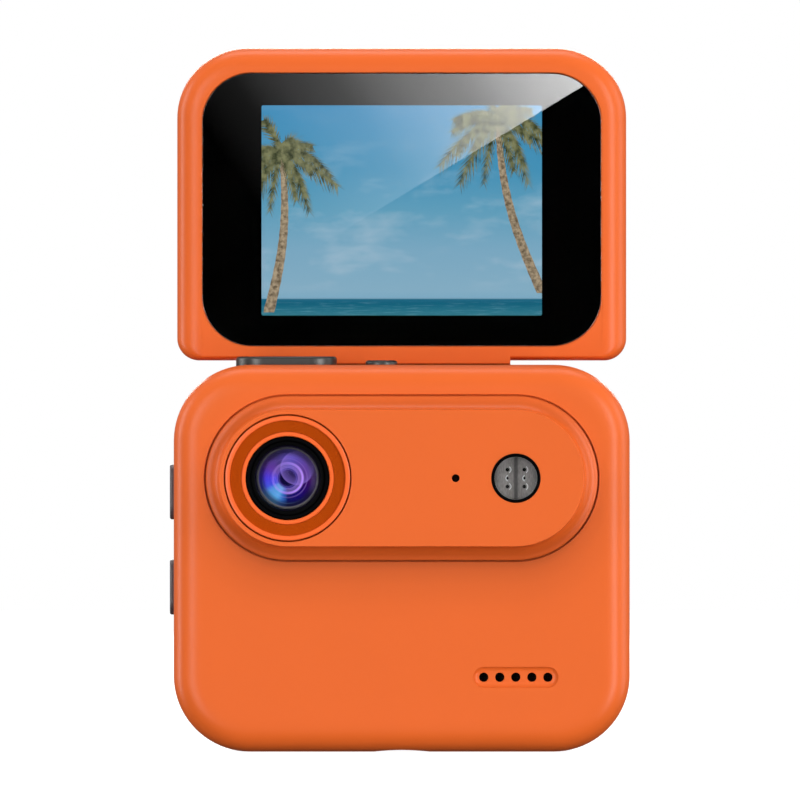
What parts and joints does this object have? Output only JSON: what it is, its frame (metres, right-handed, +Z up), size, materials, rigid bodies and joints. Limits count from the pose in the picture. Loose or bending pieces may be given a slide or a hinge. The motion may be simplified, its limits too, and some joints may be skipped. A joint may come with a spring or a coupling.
{
  "type": "action camera",
  "caption": "Pocket action camera with a rounded block body, a raised lens plate and a flip screen that folds up from the rear, standing open.",
  "frame": {"origin": "middle of the base, on the plane the camera stands on", "axes": "+Z up, -Y is where the lens looks, +X is to the right seen from the front"},
  "size_m": [0.0666, 0.0281, 0.102],
  "materials": {
    "body_orange": "soft-touch satin moulding",
    "trim_orange": "satin rim",
    "groove_brown": "fine concentric grooves",
    "black_plastic": "matt black",
    "lens_glass": "coated optical glass",
    "clear_window": "clear window",
    "grey_reflector": "silvered tray",
    "led_phosphor": "phosphor",
    "circuit_board": "solder resist",
    "soft_rubber": "matt rubber",
    "screw_steel": "plated steel",
    "stamped_steel": "stamped sheet",
    "brass": "turned brass",
    "cell_foil": "foil pouch",
    "copper_flex": "polyimide film",
    "button_grey": "dark satin metal",
    "side_button_grey": "dark grey satin",
    "cover_glass": "glossy black-bordered glass",
    "display": "lit display",
    "light_guide": "white diffuser"
  },
  "bodies": {
    "camera": {"front_shell": "body_orange", "rear_shell": "body_orange", "case_gasket": "soft_rubber", "case_screws": "screw_steel", "tripod_insert": "brass", "rest_pads": "soft_rubber", "lens_plate": "body_orange", "lens_ring": "trim_orange", "lens_groove_ring": "groove_brown", "lens_barrel": "black_plastic", "lens_retaining_ring": "black_plastic", "front_element": "lens_glass", "second_element": "lens_glass", "aperture_stop": "black_plastic", "rear_element": "lens_glass", "lens_mount": "black_plastic", "ir_filter": "lens_glass", "image_sensor": "black_plastic", "sensor_board": "circuit_board", "led_bezel": "black_plastic", "led_window": "clear_window", "led_reflector": "grey_reflector", "led_chips": "led_phosphor", "led_board": "circuit_board", "microphone": "stamped_steel", "mic_gasket": "soft_rubber", "speaker": "black_plastic", "speaker_mesh": "stamped_steel", "main_board": "circuit_board", "board_screws": "screw_steel", "main_processor": "black_plastic", "main_shield": "stamped_steel", "memory_chip": "black_plastic", "battery": "cell_foil", "battery_pad": "soft_rubber", "wifi_antenna": "copper_flex", "top_switches": "stamped_steel", "top_switch_board": "circuit_board", "side_switches": "stamped_steel", "side_switch_board": "circuit_board", "door_hinge_pin": "screw_steel", "usb_c_socket": "stamped_steel", "card_socket": "stamped_steel", "memory_card": "black_plastic", "hinge_pins": "screw_steel", "hinge_flex": "copper_flex"},
    "screen": {"screen_frame": "body_orange", "screen_back_cover": "body_orange", "cover_glass": "cover_glass", "display_panel": "display", "backlight": "light_guide", "display_tray": "stamped_steel", "screen_board": "circuit_board", "hinge_sleeves": "brass"},
    "shutter": {"shutter_button": "button_grey"},
    "power": {"power_button": "button_grey"},
    "upper_side": {"upper_side_button": "side_button_grey"},
    "lower_side": {"lower_side_button": "side_button_grey"},
    "door": {"port_door": "body_orange", "door_seal": "soft_rubber"}
  },
  "joints": [
    {"name": "screen_flip", "type": "hinge", "parent": "camera", "child": "screen", "pos_m": [0, 0.0116, 0.0534], "axis": [-1, 0, 0], "range_deg": [0, 180]},
    {"name": "shutter_press", "type": "slide", "parent": "camera", "child": "shutter", "axis": [0, 0, -1], "range_m": [0, 0.00045], "stiffness_N_per_m": 3555.6, "springref_m": -0.00014},
    {"name": "power_press", "type": "slide", "parent": "camera", "child": "power", "axis": [0, 0, -1], "range_m": [0, 0.00045], "stiffness_N_per_m": 3555.6, "springref_m": -0.00014},
    {"name": "upper_side_press", "type": "slide", "parent": "camera", "child": "upper_side", "axis": [1, 0, 0], "range_m": [0, 0.0004], "stiffness_N_per_m": 4000, "springref_m": -0.00012},
    {"name": "lower_side_press", "type": "slide", "parent": "camera", "child": "lower_side", "axis": [1, 0, 0], "range_m": [0, 0.0004], "stiffness_N_per_m": 4000, "springref_m": -0.00012},
    {"name": "port_door_swing", "type": "hinge", "parent": "camera", "child": "door", "pos_m": [0.03235, -0.0005, 0.04315], "axis": [0, -1, 0], "range_deg": [0, 90]}
  ]
}
